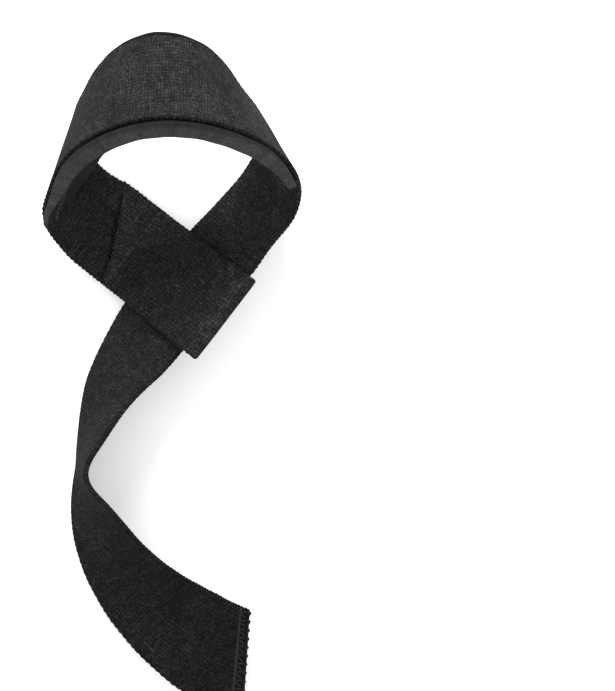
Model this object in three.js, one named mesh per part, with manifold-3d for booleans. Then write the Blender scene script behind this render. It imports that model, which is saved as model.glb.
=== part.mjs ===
// Weightlifting strap: one length of cotton webbing with a sewn end loop, a wrist loop and a free tail.
// Millimetres, +Z up. The strap lies on the ground plane with its wrist loop standing up from it.

import * as THREE from "three";
import * as BufferGeometryUtils from "three/addons/utils/BufferGeometryUtils.js";
import Module from "manifold-3d";

// Webbing
const WEB_WIDTH = 38;
const WEB_THICK = 2.2;
const SELVAGE_BEVEL = 0.5;

// Foam lining of the wrist loop, its middle measured along the strap from the stitch line
const PAD_WIDTH = 42.4;
const PAD_THICK = 4.6;
const PAD_BEVEL = 0.7;
const PAD_GAP = 0.3;
const PAD_MIDDLE = 114.5;
const PAD_LENGTH = 153;

// End loop, measured from its stitch line
const LOOP_HEADING = -37.5;
const LOOP_SLOPE = 37;
const LOOP_REACH = 47.4;
const LOOP_FOLD_RADIUS = 3.4;
const LOOP_FRONT_RADIUS = 9;
const LOOP_BACK_RADIUS = 8;
const SEAM_BITE = 0.3;
const CUT_END_NEAR = 2;
const CUT_END_FAR = 19.5;

// Strand that runs through the end loop
const STRAND_CLEARANCE = 0.5;
const STRAND_FROM_FOLD = 1.2;
const STRAND_DRIFT = 0.08;
const STRAND_RUN = 22;

// Wrist loop: how high its centre line stands
const WRIST_LOOP_RISE = 75;

// Tail: how far its end lies from the stitch line, and how high that end curls up
const TAIL_REACH = 162;
const TAIL_END_RISE = 15.6;
const TAIL_CLEARANCE = 0.4;
const TAIL_CUT_SLANT = -20;

// Fineness of the lofts
const STEP_LENGTH = 2.8;
const ARC_STEPS = 8;

const rad = THREE.MathUtils.degToRad;
const UP = new THREE.Vector3(0, 0, 1);
const FLOOR = WEB_THICK / 2;

// Plan directions of the end loop: towards its fold, and across it to the side the tail leaves by
const heading = new THREE.Vector3(Math.cos(rad(LOOP_HEADING)), Math.sin(rad(LOOP_HEADING)), 0);
const across = new THREE.Vector3().crossVectors(heading, UP);
const slopeCos = Math.cos(rad(LOOP_SLOPE));
const slopeSin = Math.sin(rad(LOOP_SLOPE));

// Direction from one selvage to the other: compass turn in plan and lift above the ground
function widthDirection(turn, lift) {
  const flat = Math.cos(rad(lift));
  return new THREE.Vector3(
    flat * Math.cos(rad(turn)),
    flat * Math.sin(rad(turn)),
    Math.sin(rad(lift)),
  );
}

// Height of the centre line where the strap stands on its lower selvage
function standing(lift, clear) {
  return (WEB_WIDTH / 2) * Math.sin(rad(lift)) + FLOOR * Math.cos(rad(lift)) + clear;
}

function wristRow(bend) {
  return {
    x: bend.x * WRIST_LOOP_RISE,
    y: bend.y * WRIST_LOOP_RISE,
    z: bend.z * WRIST_LOOP_RISE,
    width: widthDirection(bend.turn, bend.lift),
  };
}

function tailRow(bend) {
  return {
    x: bend.x * TAIL_REACH,
    y: bend.y * TAIL_REACH,
    z: standing(bend.lift, TAIL_CLEARANCE + bend.curl * TAIL_END_RISE),
    width: widthDirection(bend.turn, bend.lift),
  };
}

function loopPoint(h, z, q = 0) {
  return new THREE.Vector3(0, 0, z).addScaledVector(heading, h).addScaledVector(across, q);
}

// The end loop seen from its side: a path that starts on top of the seam, goes up to the fold,
// turns over and comes back down to the ground at the stitch line.
function loopProfile() {
  const frontStart = FLOOR + WEB_THICK - SEAM_BITE;
  const outer = LOOP_FOLD_RADIUS + WEB_THICK / 2;
  const toFold = LOOP_FRONT_RADIUS * slopeSin + LOOP_FOLD_RADIUS * slopeSin + outer;
  const frontRun = (LOOP_REACH - toFold) / slopeCos;
  const rise = 2 * LOOP_FOLD_RADIUS * slopeCos
    - (frontStart - FLOOR)
    - (LOOP_FRONT_RADIUS - LOOP_BACK_RADIUS) * (1 - slopeCos);
  const backRun = frontRun - rise / slopeSin;
  const path = [{ h: 0, z: frontStart, angle: 0 }];
  const walk = (length, turn, steps) => {
    for (let i = 0; i < steps; i += 1) {
      const last = path[path.length - 1];
      const middle = rad(last.angle + turn / steps / 2);
      const half = rad(Math.abs(turn) / steps / 2);
      const chord = (length / steps) * (half > 0 ? Math.sin(half) / half : 1);
      path.push({
        h: last.h + chord * Math.cos(middle),
        z: last.z + chord * Math.sin(middle),
        angle: last.angle + turn / steps,
      });
    }
  };
  walk(LOOP_FRONT_RADIUS * rad(LOOP_SLOPE), LOOP_SLOPE, ARC_STEPS);
  walk(frontRun, 0, 6);
  walk(LOOP_FOLD_RADIUS * Math.PI / 2, -90, ARC_STEPS);
  const apex = path.length - 1;
  walk(LOOP_FOLD_RADIUS * Math.PI / 2, -90, ARC_STEPS);
  walk(backRun, 0, 6);
  walk(LOOP_BACK_RADIUS * rad(LOOP_SLOPE), -LOOP_SLOPE, ARC_STEPS);
  const foot = path[path.length - 1];
  walk(foot.h, 0, 3);
  return { path, apex, backRun, slopeFoot: foot.h + LOOP_BACK_RADIUS * slopeSin };
}

const profile = loopProfile();

// Centre of the strand inside the end loop, q across the loop
function strandPoint(q) {
  const foot = FLOOR + LOOP_BACK_RADIUS * (1 - slopeCos);
  const lift = WEB_THICK + STRAND_CLEARANCE;
  const along = profile.backRun - STRAND_FROM_FOLD - WEB_WIDTH / 2 - (STRAND_DRIFT * q) / slopeCos;
  const h = profile.slopeFoot + along * slopeCos - lift * slopeSin;
  const z = foot + along * slopeSin + lift * slopeCos;
  return loopPoint(h, z, q);
}

function strandRow(q) {
  const at = strandPoint(q);
  const lean = new THREE.Vector3(0, 0, slopeSin).addScaledVector(heading, slopeCos);
  return { x: at.x, y: at.y, z: at.z, width: lean };
}

// One row per bend of the wrist loop, from the stitch line on. x, y, z place the centre line, as
// shares of the loop's rise; turn and lift set the direction from its outer to its inner selvage.
const WRIST_BENDS = [
  { x: -0.16, y: 0.124, z: 0.069, turn: -129, lift: 12 },
  { x: -0.315, y: 0.275, z: 0.171, turn: -127, lift: 36 },
  { x: -0.341, y: 0.413, z: 0.34, turn: -108, lift: 32 },
  { x: -0.253, y: 0.56, z: 0.62, turn: -102, lift: 33 },
  { x: -0.1, y: 0.68, z: 0.847, turn: -95, lift: 32 },
  { x: 0.207, y: 0.764, z: 1, turn: -86, lift: 29 },
  { x: 0.491, y: 0.723, z: 0.867, turn: -77, lift: 32 },
  { x: 0.668, y: 0.607, z: 0.625, turn: -63, lift: 37 },
  { x: 0.779, y: 0.445, z: 0.4, turn: -60, lift: 40 },
  { x: 0.713, y: 0.269, z: 0.267, turn: -53, lift: 40 },
  { x: 0.589, y: 0.124, z: 0.227, turn: -46, lift: 41 },
];

// The tail stands on its outer selvage. x and y are shares of its reach, and curl is the share of
// the end's rise that the selvage has there.
const TAIL_BENDS = [
  { x: 0.004, y: -0.257, turn: -31, lift: 42, curl: 0 },
  { x: -0.056, y: -0.354, turn: -23, lift: 56, curl: 0 },
  { x: -0.1, y: -0.464, turn: -14, lift: 71, curl: 0 },
  { x: -0.118, y: -0.542, turn: -5, lift: 77.5, curl: 0 },
  { x: -0.1, y: -0.617, turn: 10.5, lift: 63, curl: 0 },
  { x: -0.055, y: -0.73, turn: 21, lift: 43, curl: 0 },
  { x: 0.02, y: -0.842, turn: 32, lift: 24, curl: 0.03 },
  { x: 0.112, y: -0.927, turn: 45, lift: 7, curl: 0.26 },
  { x: 0.195, y: -0.975, turn: 57, lift: 5, curl: 0.61 },
  { x: 0.275, y: -1, turn: 66, lift: 4, curl: 1 },
];

// Smooth cubic curve through knots, with a set slope at its first knot and a free last one
function cubicThrough(places, values, firstSlope) {
  const n = places.length;
  const lower = new Array(n).fill(0);
  const diagonal = new Array(n).fill(0);
  const upper = new Array(n).fill(0);
  const right = new Array(n).fill(0);
  diagonal[0] = 1;
  right[0] = firstSlope;
  for (let i = 1; i < n - 1; i += 1) {
    const before = places[i] - places[i - 1];
    const after = places[i + 1] - places[i];
    lower[i] = after;
    diagonal[i] = 2 * (before + after);
    upper[i] = before;
    right[i] = 3 * (
      (after * (values[i] - values[i - 1])) / before
      + (before * (values[i + 1] - values[i])) / after
    );
  }
  lower[n - 1] = 1;
  diagonal[n - 1] = 2;
  right[n - 1] = (3 * (values[n - 1] - values[n - 2])) / (places[n - 1] - places[n - 2]);
  for (let i = 1; i < n; i += 1) {
    const share = lower[i] / diagonal[i - 1];
    diagonal[i] -= share * upper[i - 1];
    right[i] -= share * right[i - 1];
  }
  const slopes = new Array(n).fill(0);
  slopes[n - 1] = right[n - 1] / diagonal[n - 1];
  for (let i = n - 2; i >= 0; i -= 1) {
    slopes[i] = (right[i] - upper[i] * slopes[i + 1]) / diagonal[i];
  }
  return (place) => {
    let i = 0;
    while (i < n - 2 && place > places[i + 1]) {
      i += 1;
    }
    const span = places[i + 1] - places[i];
    const t = (place - places[i]) / span;
    const s = 1 - t;
    return values[i] * (1 + 2 * t) * s * s
      + values[i + 1] * (1 + 2 * s) * t * t
      + span * t * s * (slopes[i] * s - slopes[i + 1] * t);
  };
}

// The run of the strap beyond the stitch line as a frame for every place along it
function makeRun() {
  const rows = [
    { x: 0, y: 0, z: FLOOR, width: across },
    ...WRIST_BENDS.map(wristRow),
    strandRow(-STRAND_RUN),
    strandRow(0),
    strandRow(STRAND_RUN),
    ...TAIL_BENDS.map(tailRow),
  ];
  const places = [0];
  for (let i = 1; i < rows.length; i += 1) {
    const a = rows[i - 1];
    const b = rows[i];
    places.push(places[i - 1] + Math.hypot(b.x - a.x, b.y - a.y, b.z - a.z));
  }
  const curve = (pick, slope) => cubicThrough(places, rows.map(pick), slope);
  const x = curve((row) => row.x, -heading.x);
  const y = curve((row) => row.y, -heading.y);
  const z = curve((row) => row.z, 0);
  const wx = curve((row) => row.width.x, 0);
  const wy = curve((row) => row.width.y, 0);
  const wz = curve((row) => row.width.z, 0);
  const centre = (place) => new THREE.Vector3(x(place), y(place), z(place));
  const frame = (place) => {
    const tangent = centre(place + 0.05).sub(centre(place - 0.05)).normalize();
    const width = new THREE.Vector3(wx(place), wy(place), wz(place));
    width.addScaledVector(tangent, -width.dot(tangent)).normalize();
    const inward = new THREE.Vector3().crossVectors(tangent, width);
    return { centre: centre(place), tangent, width, inward };
  };
  return { length: places[places.length - 1], frame };
}

const run = makeRun();

function profileFrame(point) {
  const tangent = new THREE.Vector3(0, 0, Math.sin(rad(point.angle)));
  tangent.addScaledVector(heading, Math.cos(rad(point.angle)));
  const inward = new THREE.Vector3().crossVectors(tangent, across);
  return { centre: loopPoint(point.h, point.z), tangent, width: across, inward };
}

// Outline of the webbing or the pad, with points in line across both so that their faces match
function section(width, thick, bevel, middle = 0) {
  const w = width / 2;
  const t = thick / 2;
  const rib = WEB_WIDTH / 2 - SELVAGE_BEVEL;
  const ribs = [rib, rib / 2, 0, -rib / 2, -rib];
  const edge = width > WEB_WIDTH ? [w - bevel] : [];
  const top = [...edge, ...ribs, ...edge.map((place) => -place)];
  return [
    { w, n: t - bevel },
    ...top.map((place) => ({ w: place, n: t })),
    { w: -w, n: t - bevel },
    { w: -w, n: bevel - t },
    ...top.map((place) => ({ w: -place, n: -t })),
    { w, n: bevel - t },
  ].map((point) => ({ w: point.w, n: point.n + middle }));
}

// A closed solid through rings of points
function loft(rings) {
  const count = rings[0].length;
  const positions = [];
  const index = [];
  rings.forEach((ring) => ring.forEach((p) => positions.push(p.x, p.y, p.z)));
  for (let i = 0; i < rings.length - 1; i += 1) {
    for (let k = 0; k < count; k += 1) {
      const a = i * count + k;
      const b = i * count + ((k + 1) % count);
      index.push(a, a + count, b, b, a + count, b + count);
    }
  }
  const cap = (start, flip) => {
    for (let k = 1; k < count - 1; k += 1) {
      index.push(start, flip ? start + k + 1 : start + k, flip ? start + k : start + k + 1);
    }
  };
  cap(0, false);
  cap((rings.length - 1) * count, true);
  const geometry = new THREE.BufferGeometry();
  geometry.setAttribute("position", new THREE.Float32BufferAttribute(positions, 3));
  geometry.setIndex(index);
  return facingOut(geometry);
}

function facingOut(geometry) {
  const p = geometry.getAttribute("position");
  const index = Array.from(geometry.getIndex().array);
  let volume = 0;
  for (let i = 0; i < index.length; i += 3) {
    const a = new THREE.Vector3().fromBufferAttribute(p, index[i]);
    const b = new THREE.Vector3().fromBufferAttribute(p, index[i + 1]);
    const c = new THREE.Vector3().fromBufferAttribute(p, index[i + 2]);
    volume += a.dot(b.cross(c));
  }
  if (volume < 0) {
    for (let i = 0; i < index.length; i += 3) {
      [index[i], index[i + 1]] = [index[i + 1], index[i]];
    }
    geometry.setIndex(index);
  }
  return geometry;
}

function ringAt(frame, outline) {
  return outline.map((o) => new THREE.Vector3()
    .copy(frame.centre)
    .addScaledVector(frame.width, o.w)
    .addScaledVector(frame.inward, o.n));
}

// Webbing from the fold's crest under the end loop, round the wrist loop and out to the tail's end
function mainStrand() {
  const outline = section(WEB_WIDTH, WEB_THICK, SELVAGE_BEVEL);
  const rings = profile.path
    .slice(profile.apex, profile.path.length - 1)
    .map((point) => ringAt(profileFrame(point), outline));
  const steps = Math.round(run.length / STEP_LENGTH);
  const slant = Math.tan(rad(TAIL_CUT_SLANT));
  for (let i = 0; i <= steps; i += 1) {
    const place = (run.length * i) / steps;
    const nearEnd = Math.max(0, 1 - (run.length - place) / WEB_WIDTH);
    const frame = run.frame(place);
    rings.push(ringAt(frame, outline).map((p, k) => (
      p.addScaledVector(frame.tangent, outline[k].w * slant * nearEnd)
    )));
  }
  return loft(rings);
}

// Folded-over end of the webbing: sewn down as far as the stitch line, then open up to the crest
function foldedEnd() {
  const outline = section(WEB_WIDTH, WEB_THICK, SELVAGE_BEVEL);
  const rings = [];
  const steps = 6;
  for (let i = steps; i > 0; i -= 1) {
    const share = i / steps;
    rings.push(outline.map((o) => {
      const side = 0.5 - o.w / WEB_WIDTH;
      const place = share * (CUT_END_NEAR + (CUT_END_FAR - CUT_END_NEAR) * side);
      const frame = run.frame(place);
      return new THREE.Vector3()
        .copy(frame.centre)
        .addScaledVector(frame.width, o.w)
        .addScaledVector(frame.inward, WEB_THICK - SEAM_BITE - o.n);
    }));
  }
  profile.path
    .slice(0, profile.apex + 1)
    .forEach((point) => rings.push(ringAt(profileFrame(point), outline)));
  return loft(rings);
}

// Foam lining on the inner face of the wrist loop
function pad() {
  const middle = WEB_THICK / 2 + PAD_GAP + PAD_THICK / 2;
  const outline = section(PAD_WIDTH, PAD_THICK, PAD_BEVEL, middle);
  const steps = Math.round(run.length / STEP_LENGTH);
  const step = run.length / steps;
  const first = Math.round((PAD_MIDDLE - PAD_LENGTH / 2) / step);
  const last = Math.round((PAD_MIDDLE + PAD_LENGTH / 2) / step);
  const rings = [];
  for (let i = first; i <= last; i += 1) {
    rings.push(ringAt(run.frame(step * i), outline));
  }
  return loft(rings);
}

const wasm = await Module();
wasm.setup();

function toSolid(geometry) {
  const bare = geometry.clone();
  bare.deleteAttribute("normal");
  bare.deleteAttribute("uv");
  const merged = BufferGeometryUtils.mergeVertices(bare, 1e-4);
  return new wasm.Manifold(new wasm.Mesh({
    numProp: 3,
    vertProperties: new Float32Array(merged.getAttribute("position").array),
    triVerts: new Uint32Array(merged.getIndex().array),
  }));
}

function toGeometry(solid) {
  const mesh = solid.getMesh();
  const geometry = new THREE.BufferGeometry();
  geometry.setAttribute("position", new THREE.BufferAttribute(new Float32Array(mesh.vertProperties), 3));
  geometry.setIndex(new THREE.BufferAttribute(new Uint32Array(mesh.triVerts), 1));
  geometry.computeVertexNormals();
  return geometry;
}

function part(name, geometry, color, roughness) {
  const mesh = new THREE.Mesh(geometry, new THREE.MeshStandardMaterial({ color, roughness }));
  mesh.name = name;
  return mesh;
}

const group = new THREE.Group();
group.name = "weightlifting_strap";
const webbing = toGeometry(toSolid(mainStrand()).add(toSolid(foldedEnd())));
const lining = toGeometry(toSolid(pad()));
group.add(part("strap_webbing", webbing, 0x1c1c1e, 0.9));
group.add(part("wrist_pad", lining, 0x3a3a3d, 0.8));

// Stand the whole strap on the ground, its box centred on the origin in plan
const box = new THREE.Box3().setFromObject(group);
group.children.forEach((mesh) => {
  mesh.geometry.translate(
    -(box.min.x + box.max.x) / 2,
    -(box.min.y + box.max.y) / 2,
    -box.min.z,
  );
});

export default group;
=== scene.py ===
"""Looks of a lasso-type weightlifting strap lying on a pale floor.

The strap is one length of ribbed cotton webbing, folded back and sewn into an end loop. Its other
end runs through that loop, which makes the wrist loop, and goes on as the free tail. A foam lining
faced with knitted cloth is sewn inside the wrist loop. Lengths are in millimetres up to the point
where a mesh is made, and in metres from there on.
"""

from __future__ import annotations

import logging
import math
from collections.abc import Sequence
from dataclasses import dataclass, field
from enum import Enum

import bpy
import numpy as np
from mathutils import Matrix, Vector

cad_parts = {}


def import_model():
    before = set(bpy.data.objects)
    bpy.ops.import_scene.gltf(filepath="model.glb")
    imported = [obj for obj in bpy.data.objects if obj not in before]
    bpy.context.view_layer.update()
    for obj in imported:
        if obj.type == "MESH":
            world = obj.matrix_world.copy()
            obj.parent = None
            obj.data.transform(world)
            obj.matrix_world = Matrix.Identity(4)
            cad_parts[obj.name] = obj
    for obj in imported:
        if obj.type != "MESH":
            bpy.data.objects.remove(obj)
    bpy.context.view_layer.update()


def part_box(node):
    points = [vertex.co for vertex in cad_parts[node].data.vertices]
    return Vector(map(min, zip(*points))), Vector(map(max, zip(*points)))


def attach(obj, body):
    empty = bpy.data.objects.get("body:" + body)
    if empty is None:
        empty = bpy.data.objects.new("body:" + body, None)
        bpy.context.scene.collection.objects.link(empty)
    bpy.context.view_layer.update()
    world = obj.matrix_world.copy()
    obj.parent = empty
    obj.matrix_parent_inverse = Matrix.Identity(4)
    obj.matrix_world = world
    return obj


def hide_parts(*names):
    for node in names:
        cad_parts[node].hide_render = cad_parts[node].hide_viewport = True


LOG = logging.getLogger("strap")
MM = 0.001

Array = np.ndarray
Piece = bpy.types.Object
Socket = bpy.types.NodeSocket
Pair = tuple[float, float]
Rows = Sequence[tuple[float, ...]]
Shares = Sequence[tuple[str, float]]


class Face(Enum):
    """The two broad faces of the webbing."""

    OUTER = -1
    INNER = 1


def unit(vectors: Array) -> Array:
    """Scale vectors to length one.

    Args:
        vectors: one vector, or one in each row.

    Returns:
        The unit vectors, in the same shape.
    """
    return vectors / np.linalg.norm(vectors, axis=-1, keepdims=True)


def width_direction(turn: float, lift: float) -> Array:
    """Direction from the strap's outer selvage to its inner one.

    Args:
        turn: compass turn in plan, in degrees.
        lift: rise above the ground, in degrees.

    Returns:
        A unit vector.
    """
    turn, lift = math.radians(turn), math.radians(lift)
    flat = math.cos(lift)
    return np.array([flat * math.cos(turn), flat * math.sin(turn), math.sin(lift)])


class SmoothCurve:
    """Smooth cubic curve through knots, with a set slope at its first knot."""

    def __init__(self, places: Array, values: Array, first_slope: Array) -> None:
        """Solve for the slopes at the knots.

        Args:
            places: distance of each knot along the strap.
            values: one row of values for each knot.
            first_slope: slope of the values at the first knot.
        """
        self.places, self.values = places, values
        count = len(places)
        system, right = np.zeros((count, count)), np.zeros_like(values)
        system[0, 0] = 1
        right[0] = first_slope
        span = np.diff(places)
        for i in range(1, count - 1):
            before, after = span[i - 1], span[i]
            system[i, i - 1 : i + 2] = after, 2 * (before + after), before
            back = (values[i] - values[i - 1]) / before
            ahead = (values[i + 1] - values[i]) / after
            right[i] = 3 * (after * back + before * ahead)
        system[-1, -2:] = 1, 2
        right[-1] = 3 * (values[-1] - values[-2]) / span[-1]
        self.slopes = np.linalg.solve(system, right)

    def at(self, place: Array) -> Array:
        """Values of the curve.

        Args:
            place: distances along the strap.

        Returns:
            One row of values for each distance.
        """
        i = np.clip(np.searchsorted(self.places, place) - 1, 0, len(self.places) - 2)
        span = (self.places[i + 1] - self.places[i])[:, None]
        t = (place - self.places[i])[:, None] / span
        s = 1 - t
        ends = self.values[i] * (1 + 2 * t) * s * s + self.values[i + 1] * (1 + 2 * s) * t * t
        return ends + span * t * s * (self.slopes[i] * s - self.slopes[i + 1] * t)


@dataclass
class Frames:
    """Places along the strap, each with its own directions. Every field has one row per place."""

    centre: Array
    along: Array
    width: Array
    inward: Array

    def points(self, across: Array, deep: Array) -> Array:
        """Points of the strap's section at every place.

        Args:
            across: offset towards the inner selvage, per place and point or per point.
            deep: offset towards the inner face, per place and point or per point.

        Returns:
            An array of place, point and coordinate.
        """
        shape = (len(self.centre), np.shape(across)[-1])
        across, deep = np.broadcast_to(across, shape), np.broadcast_to(deep, shape)
        return (
            self.centre[:, None]
            + self.width[:, None] * across[..., None]
            + self.inward[:, None] * deep[..., None]
        )


@dataclass
class StrapRoute:
    """The strap's course: its end loop, wrist loop, crossing and tail, as the CAD solid has them."""

    width: float = 38.0
    thick: float = 2.2
    loop_heading: float = -37.5
    loop_slope: float = 37.0
    loop_reach: float = 47.4
    fold_radius: float = 3.4
    front_radius: float = 9.0
    back_radius: float = 8.0
    seam_bite: float = 0.3
    cut_end_near: float = 2.0
    cut_end_far: float = 19.5
    strand_clearance: float = 0.5
    strand_from_fold: float = 1.2
    strand_drift: float = 0.08
    strand_run: float = 22.0
    wrist_loop_rise: float = 75.0
    tail_reach: float = 162.0
    tail_end_rise: float = 15.6
    tail_clearance: float = 0.4
    # Spacing and number of the places that the route's box is measured at
    box_spacing: float = 1.0
    box_places: int = 600
    # x, y, z of the centre line as shares of the loop's rise, then turn and lift of the width
    wrist_bends: Rows = (
        (-0.16, 0.124, 0.069, -129, 12),
        (-0.315, 0.275, 0.171, -127, 36),
        (-0.341, 0.413, 0.34, -108, 32),
        (-0.253, 0.56, 0.62, -102, 33),
        (-0.1, 0.68, 0.847, -95, 32),
        (0.207, 0.764, 1, -86, 29),
        (0.491, 0.723, 0.867, -77, 32),
        (0.668, 0.607, 0.625, -63, 37),
        (0.779, 0.445, 0.4, -60, 40),
        (0.713, 0.269, 0.267, -53, 40),
        (0.589, 0.124, 0.227, -46, 41),
    )
    # x, y as shares of the tail's reach, turn and lift of the width, share of the end's rise
    tail_bends: Rows = (
        (0.004, -0.257, -31, 42, 0),
        (-0.056, -0.354, -23, 56, 0),
        (-0.1, -0.464, -14, 71, 0),
        (-0.118, -0.542, -5, 77.5, 0),
        (-0.1, -0.617, 10.5, 63, 0),
        (-0.055, -0.73, 21, 43, 0),
        (0.02, -0.842, 32, 24, 0.03),
        (0.112, -0.927, 45, 7, 0.26),
        (0.195, -0.975, 57, 5, 0.61),
        (0.275, -1, 66, 4, 1),
    )
    heading: Array = field(init=False)
    across: Array = field(init=False)
    length: float = field(init=False)
    strand_place: float = field(init=False)
    offset: Array = field(init=False)

    def __post_init__(self) -> None:
        """Work out the loop's directions, the curve of the run and its place in the frame."""
        angle = math.radians(self.loop_heading)
        self.heading = np.array([math.cos(angle), math.sin(angle), 0.0])
        self.across = np.array([math.sin(angle), -math.cos(angle), 0.0])
        self._trace_loop()
        rows = [(np.array([0, 0, self.thick / 2]), self.across)]
        for x, y, z, turn, lift in self.wrist_bends:
            centre = np.array([x, y, z], float) * self.wrist_loop_rise
            rows.append((centre, width_direction(turn, lift)))
        run = self.strand_run
        rows += [self._strand(q) for q in (-run, 0.0, run)]
        reach = self.tail_reach
        for x, y, turn, lift, curl in self.tail_bends:
            z = self._standing(lift, self.tail_clearance + curl * self.tail_end_rise)
            rows.append((np.array([x * reach, y * reach, z]), width_direction(turn, lift)))
        knots = np.array([row[0] for row in rows])
        widths = np.array([row[1] for row in rows])
        steps = np.linalg.norm(np.diff(knots, axis=0), axis=1)
        places = np.concatenate([[0], np.cumsum(steps)])
        self.length = float(places[-1])
        # The middle one of the strand's three knots, which follow the seam's and the wrist loop's
        self.strand_place = float(places[len(self.wrist_bends) + 2])
        self._centre = SmoothCurve(places, knots, -self.heading)
        self._width = SmoothCurve(places, widths, np.zeros(3))
        self.offset = self._to_frame()

    @property
    def sewn_height(self) -> float:
        """Top of the seam's upper ply over the lower one's middle, or its middle over the floor."""
        return self.thick * 1.5 - self.seam_bite

    def _standing(self, lift: float, clear: float) -> float:
        """Height of the centre line where the strap stands on its lower selvage."""
        lift = math.radians(lift)
        return self.width / 2 * math.sin(lift) + self.thick / 2 * math.cos(lift) + clear

    def _trace_loop(self) -> None:
        """Solve the end loop's side view: the runs between its bends, and where they stand."""
        slope = math.radians(self.loop_slope)
        cos, sin = math.cos(slope), math.sin(slope)
        self._cos, self._sin = cos, sin
        outer = self.fold_radius + self.thick / 2
        to_fold = self.front_radius * sin + self.fold_radius * sin + outer
        self._front_run = (self.loop_reach - to_fold) / cos
        rise = 2 * self.fold_radius * cos - (self.thick - self.seam_bite)
        rise -= (self.front_radius - self.back_radius) * (1 - cos)
        self._back_run = self._front_run - rise / sin
        foot = self.front_radius * sin + self._front_run * cos + 2 * self.fold_radius * sin
        foot -= self._back_run * cos + self.back_radius * sin
        self._flat_run = foot
        self._slope_foot = foot + self.back_radius * sin

    def _strand(self, q: float) -> tuple[Array, Array]:
        """Centre and width direction of the strand inside the end loop, q across the loop."""
        cos, sin = self._cos, self._sin
        lift = self.thick + self.strand_clearance
        along = self._back_run - self.strand_from_fold - self.width / 2
        along -= self.strand_drift * q / cos
        h = self._slope_foot + along * cos - lift * sin
        z = self.thick / 2 + self.back_radius * (1 - cos) + along * sin + lift * cos
        up = np.array([0, 0, 1.0])
        return self.heading * h + self.across * q + up * z, self.heading * cos + up * sin

    def loop(self, spacing: float) -> tuple[Frames, Array]:
        """The end loop from the stitch line over the fold and back to the stitch line.

        Args:
            spacing: distance between two places.

        Returns:
            The frames, and the distance of each from the first.
        """
        slope = self.loop_slope
        bends = (
            (self.front_radius * math.radians(slope), slope),
            (self._front_run, 0.0),
            (self.fold_radius * math.pi, -180.0),
            (self._back_run, 0.0),
            (self.back_radius * math.radians(slope), -slope),
            (self._flat_run, 0.0),
        )
        path = [(0.0, self.sewn_height, 0.0, 0.0)]
        for length, turn in bends:
            steps = max(1, math.ceil(length / spacing))
            half = math.radians(abs(turn) / steps / 2)
            chord = length / steps * (math.sin(half) / half if half > 0 else 1.0)
            for _ in range(steps):
                h, z, angle, gone = path[-1]
                middle = math.radians(angle + turn / steps / 2)
                h, z = h + chord * math.cos(middle), z + chord * math.sin(middle)
                path.append((h, z, angle + turn / steps, gone + length / steps))
        h, z, angle, gone = np.array(path).T
        up = np.array([[0, 0, 1.0]])
        angle = np.radians(angle)[:, None]
        along = self.heading * np.cos(angle) + up * np.sin(angle)
        centre = self.heading * h[:, None] + up * z[:, None]
        width = np.repeat(self.across[None], len(h), axis=0)
        return Frames(centre + self.offset, along, width, np.cross(along, width)), gone

    def run(self, place: Array) -> Frames:
        """The strap beyond the stitch line.

        Args:
            place: distances from the stitch line.

        Returns:
            The frames at those distances.
        """
        place = np.asarray(place, float)
        nudge = 0.05
        along = unit(self._centre.at(place + nudge) - self._centre.at(place - nudge))
        width = self._width.at(place)
        width = unit(width - along * (width * along).sum(axis=1, keepdims=True))
        centre = self._centre.at(place) + self.offset
        return Frames(centre, along, width, np.cross(along, width))

    def _to_frame(self) -> Array:
        """Shift from the route's own origin, the stitch line, to the frame's."""
        self.offset = np.zeros(3)
        edge = np.array([1, 1, -1, -1]) * self.width / 2
        face = np.array([1, -1, -1, 1]) * self.thick / 2
        loop, _ = self.loop(self.box_spacing)
        run = self.run(np.linspace(0, self.length, self.box_places))
        points = np.concatenate([f.points(edge, face).reshape(-1, 3) for f in (loop, run)])
        low, high = (np.array(corner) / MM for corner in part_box("strap_webbing"))
        shift = (low + high - points.min(axis=0) - points.max(axis=0)) / 2
        shift[2] = low[2]
        return shift


def solid_strip(
    name: str,
    rings: Array,
    across: Array,
    along: Array,
    masks: dict[str, Array],
) -> Piece:
    """A closed strip through rings of points, with a map that follows it.

    Args:
        name: name of the new piece.
        rings: points in millimetres, as ring, point and coordinate.
        across: map coordinate across the strip, in millimetres, per point of a ring.
        along: map coordinate along the strip, in millimetres, per ring and point.
        masks: values from 0 to 1 per ring and point, each kept as an attribute.

    Returns:
        The new object.
    """
    count, around = rings.shape[:2]
    points = rings.reshape(-1, 3) * MM
    i, k = np.meshgrid(np.arange(count - 1), np.arange(around), indexing="ij")
    after = (k + 1) % around
    quads = np.stack([i * around + k, i * around + after], axis=-1)
    quads = np.concatenate([quads, quads[..., ::-1] + around], axis=-1).reshape(-1, 4)
    faces = [tuple(int(v) for v in quad) for quad in quads]
    first = tuple(range(around))
    last = tuple(range((count - 1) * around, count * around))
    faces += [first[::-1], last]
    mesh = bpy.data.meshes.new(name)
    mesh.from_pydata(points.tolist(), [], faces)
    layer = mesh.uv_layers.new(name="run")
    corners = np.zeros(len(mesh.loops), dtype=np.int32)
    mesh.loops.foreach_get("vertex_index", corners)
    flat_u = np.tile(across, count) * MM
    flat_v = np.broadcast_to(along, (count, around)).reshape(-1) * MM
    uv = np.stack([flat_u[corners], flat_v[corners]], axis=1)
    layer.data.foreach_set("uv", uv.reshape(-1).astype(np.float32))
    for mask, values in masks.items():
        attribute = mesh.attributes.new(mask, "FLOAT", "POINT")
        spread = np.broadcast_to(values, (count, around)).reshape(-1)
        attribute.data.foreach_set("value", spread.astype(np.float32))
    mesh.validate()
    piece = bpy.data.objects.new(name, mesh)
    bpy.context.collection.objects.link(piece)
    if signed_volume(points, quads) < 0:
        mesh.flip_normals()
    mesh.shade_smooth()
    return piece


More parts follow.
